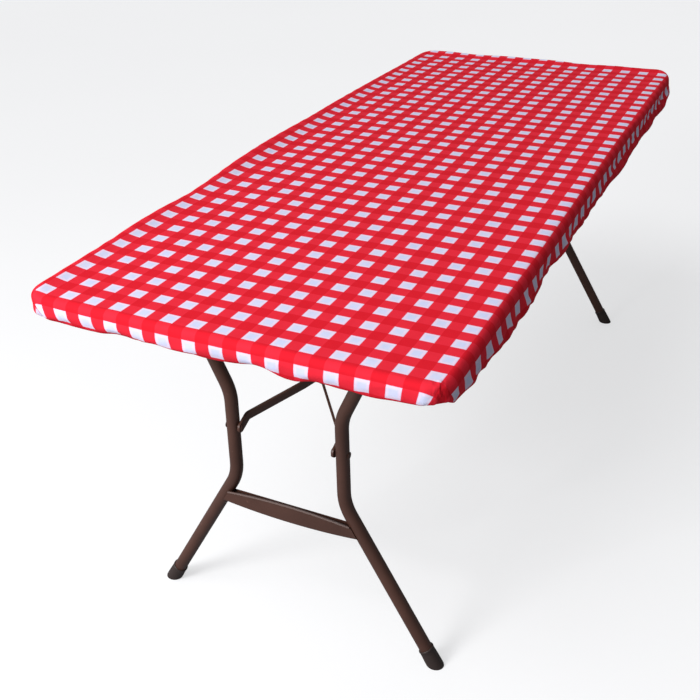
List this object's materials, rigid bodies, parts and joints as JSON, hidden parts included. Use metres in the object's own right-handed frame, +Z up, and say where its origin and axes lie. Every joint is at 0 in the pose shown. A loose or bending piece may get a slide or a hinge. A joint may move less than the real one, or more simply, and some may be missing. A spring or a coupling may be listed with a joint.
{
  "type": "fitted tablecloth on a folding table",
  "caption": "Fitted red and white gingham tablecloth with an elasticated hem, stretched over a rectangular folding banquet table whose steel wishbone legs fold flat under the top.",
  "frame": {"origin": "on the floor under the middle of the covered top", "axes": "+X along the length, +Y across the width, +Z up; the left end is -X and the front long side is -Y"},
  "size_m": [1.8348, 0.778, 0.738],
  "materials": {
    "gingham": "plain woven cotton blend, matt, red and white one inch gingham",
    "gingham_hem": "the same cloth folded and stitched into a casing",
    "elastic": "covered round elastic, matt",
    "moulded_top": "blow moulded polyethylene, fine pebble texture",
    "bronze_paint": "dark bronze powder coat, semi-gloss, slight orange peel",
    "zinc_steel": "bright zinc plate, slightly dulled",
    "dark_plastic": "dark moulded plastic, matt with rubbed edges"
  },
  "bodies": {
    "table": {"bracket_pin_left": "zinc_steel", "bracket_pin_right": "zinc_steel", "bracket_screw_left_1": "zinc_steel", "bracket_screw_left_2": "zinc_steel", "bracket_screw_right_1": "zinc_steel", "bracket_screw_right_2": "zinc_steel", "crossbar_bush_left_back": "dark_plastic", "crossbar_bush_left_front": "dark_plastic", "crossbar_bush_right_back": "dark_plastic", "crossbar_bush_right_front": "dark_plastic", "hem_casing": "gingham_hem", "hem_elastic": "elastic", "link_bracket_left": "zinc_steel", "link_bracket_right": "zinc_steel", "rail_screw_back_1": "zinc_steel", "rail_screw_back_2": "zinc_steel", "rail_screw_back_3": "zinc_steel", "rail_screw_front_1": "zinc_steel", "rail_screw_front_2": "zinc_steel", "rail_screw_front_3": "zinc_steel", "side_rail_back": "bronze_paint", "side_rail_front": "bronze_paint", "tablecloth": "gingham", "tabletop": "moulded_top"},
    "leg_left": {"foot_cap_left_back": "dark_plastic", "foot_cap_left_front": "dark_plastic", "leg_crossbar_left": "bronze_paint", "leg_rivet_left_back": "bronze_paint", "leg_rivet_left_front": "bronze_paint", "leg_stretcher_left": "bronze_paint", "leg_tube_left_back": "bronze_paint", "leg_tube_left_front": "bronze_paint"},
    "link_left": {"brace_link_left": "bronze_paint", "knee_pin_left": "zinc_steel"},
    "brace_left": {"brace_arm_left_back": "bronze_paint", "brace_arm_left_front": "bronze_paint", "brace_rivet_left_back": "bronze_paint", "brace_rivet_left_front": "bronze_paint"},
    "ring_left": {"lock_ring_left": "bronze_paint"},
    "leg_right": {"foot_cap_right_back": "dark_plastic", "foot_cap_right_front": "dark_plastic", "leg_crossbar_right": "bronze_paint", "leg_rivet_right_back": "bronze_paint", "leg_rivet_right_front": "bronze_paint", "leg_stretcher_right": "bronze_paint", "leg_tube_right_back": "bronze_paint", "leg_tube_right_front": "bronze_paint"},
    "link_right": {"brace_link_right": "bronze_paint", "knee_pin_right": "zinc_steel"},
    "brace_right": {"brace_arm_right_back": "bronze_paint", "brace_arm_right_front": "bronze_paint", "brace_rivet_right_back": "bronze_paint", "brace_rivet_right_front": "bronze_paint"},
    "ring_right": {"lock_ring_right": "bronze_paint"}
  },
  "joints": [
    {"name": "leg_fold_left", "type": "hinge", "parent": "table", "child": "leg_left", "pos_m": [-0.72, 0, 0.68], "axis": [0, -1, 0], "range_deg": [0, 90]},
    {"name": "link_swing_left", "type": "hinge", "parent": "table", "child": "link_left", "pos_m": [-0.04, 0, 0.697], "axis": [0, -1, 0], "range_deg": [-21.9, 0]},
    {"name": "knee_bend_left", "type": "hinge", "parent": "link_left", "child": "brace_left", "pos_m": [-0.5769, 0, 0.4823], "axis": [0, -1, 0], "range_deg": [0, 173.8]},
    {"name": "ring_slide_left", "type": "slide", "parent": "link_left", "child": "ring_left", "axis": [0.9285, 0, 0.3713], "range_m": [0, 0.12]},
    {"name": "leg_fold_right", "type": "hinge", "parent": "table", "child": "leg_right", "pos_m": [0.72, 0, 0.68], "axis": [0, 1, 0], "range_deg": [0, 90]},
    {"name": "link_swing_right", "type": "hinge", "parent": "table", "child": "link_right", "pos_m": [0.04, 0, 0.697], "axis": [0, 1, 0], "range_deg": [-21.9, 0]},
    {"name": "knee_bend_right", "type": "hinge", "parent": "link_right", "child": "brace_right", "pos_m": [0.5769, 0, 0.4823], "axis": [0, 1, 0], "range_deg": [0, 173.8]},
    {"name": "ring_slide_right", "type": "slide", "parent": "link_right", "child": "ring_right", "axis": [-0.9285, 0, 0.3713], "range_m": [0, 0.12]}
  ],
  "couplings": [
    {"joint": "link_swing_left", "follows": "leg_fold_left", "ratio": -0.24218},
    {"joint": "knee_bend_left", "follows": "leg_fold_left", "ratio": 1.9294},
    {"joint": "ring_slide_left", "follows": "leg_fold_left", "m_per_rad": 0.07635},
    {"joint": "link_swing_right", "follows": "leg_fold_right", "ratio": -0.24218},
    {"joint": "knee_bend_right", "follows": "leg_fold_right", "ratio": 1.9294},
    {"joint": "ring_slide_right", "follows": "leg_fold_right", "m_per_rad": 0.07635}
  ]
}
